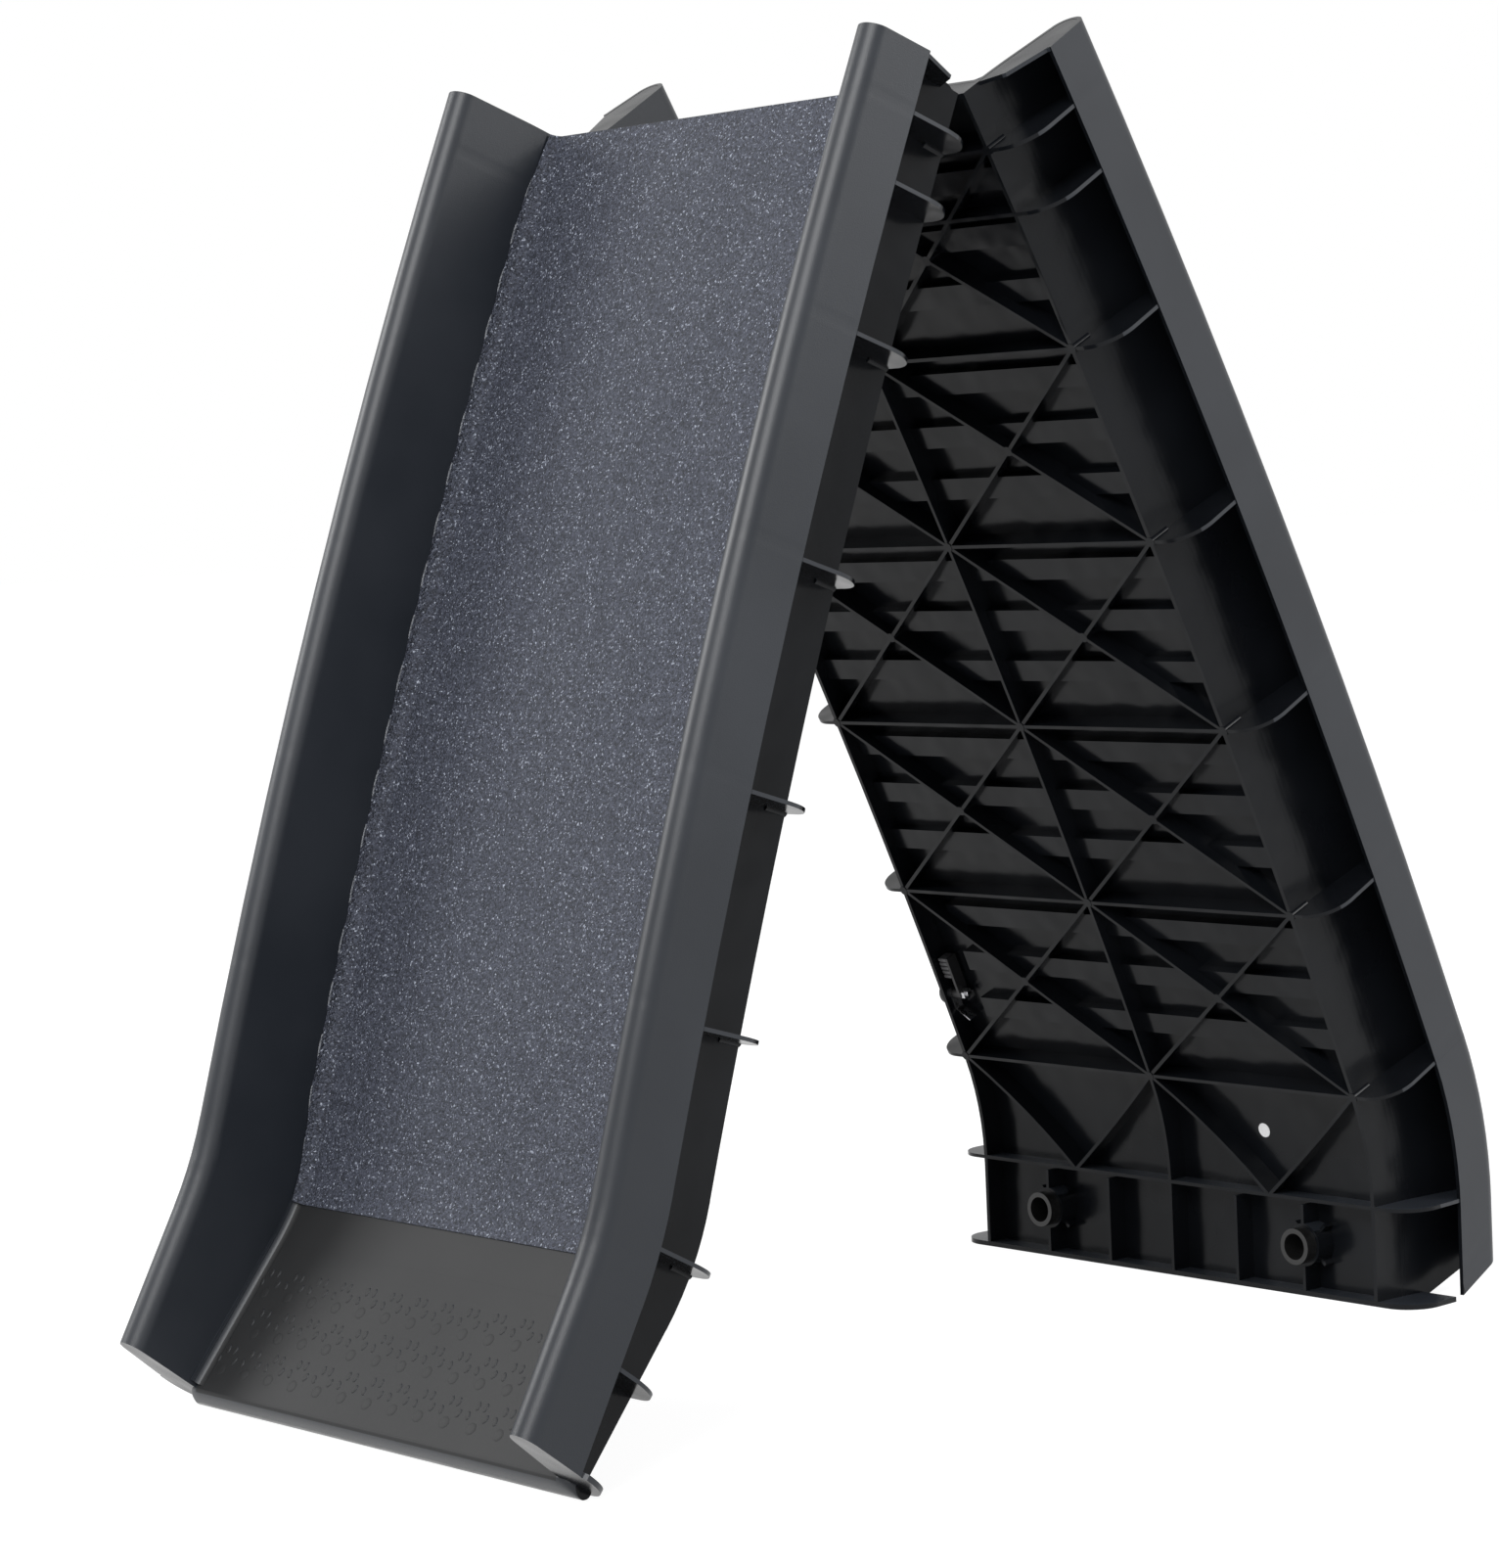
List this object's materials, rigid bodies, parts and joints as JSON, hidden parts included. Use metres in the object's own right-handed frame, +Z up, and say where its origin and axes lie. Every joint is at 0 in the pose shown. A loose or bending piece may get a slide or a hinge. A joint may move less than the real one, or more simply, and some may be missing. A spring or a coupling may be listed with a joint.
{
  "type": "folding pet ramp",
  "caption": "Folding plastic pet ramp with side rails and grit walking mats, half opened and standing on its two free ends.",
  "frame": {"origin": "on the floor, under the centre of the outline", "axes": "+Z up, +Y along the hinge rod towards the latch side, +X from the lower half's free end to the upper half's free end"},
  "size_m": [0.7338, 0.392, 0.749],
  "materials": {
    "body_plastic": "satin to gloss black moulded plastic",
    "grit_mat": "speckled blue-grey grit",
    "steel": "zinc plated",
    "foot_rubber": "smooth black rubber",
    "latch_plastic": "matt black",
    "white_paper": "plain white sticker"
  },
  "bodies": {
    "lower": {"lower_half": "body_plastic", "lower_mat": "grit_mat", "lower_foot_near": "foot_rubber", "lower_foot_far": "foot_rubber", "hinge_rod": "steel"},
    "upper": {"upper_half": "body_plastic", "upper_mat": "grit_mat", "upper_foot_near": "foot_rubber", "upper_foot_far": "foot_rubber", "latch_spring": "steel", "inspection_sticker": "white_paper"},
    "latch": {"latch_knob": "latch_plastic", "latch_screw": "steel", "latch_washer": "steel", "latch_lever": "latch_plastic", "latch_grip": "latch_plastic", "latch_nut": "steel"}
  },
  "joints": [
    {"name": "main_hinge", "type": "hinge", "parent": "lower", "child": "upper", "pos_m": [-0.01691, 0, 0.70633], "axis": [0, -1, 0], "range_deg": [-43, 127.2]},
    {"name": "latch_turn", "type": "hinge", "parent": "upper", "child": "latch", "pos_m": [0.25834, 0.1668, 0.16972], "axis": [0, -1, 0], "range_deg": [0, 90]}
  ]
}
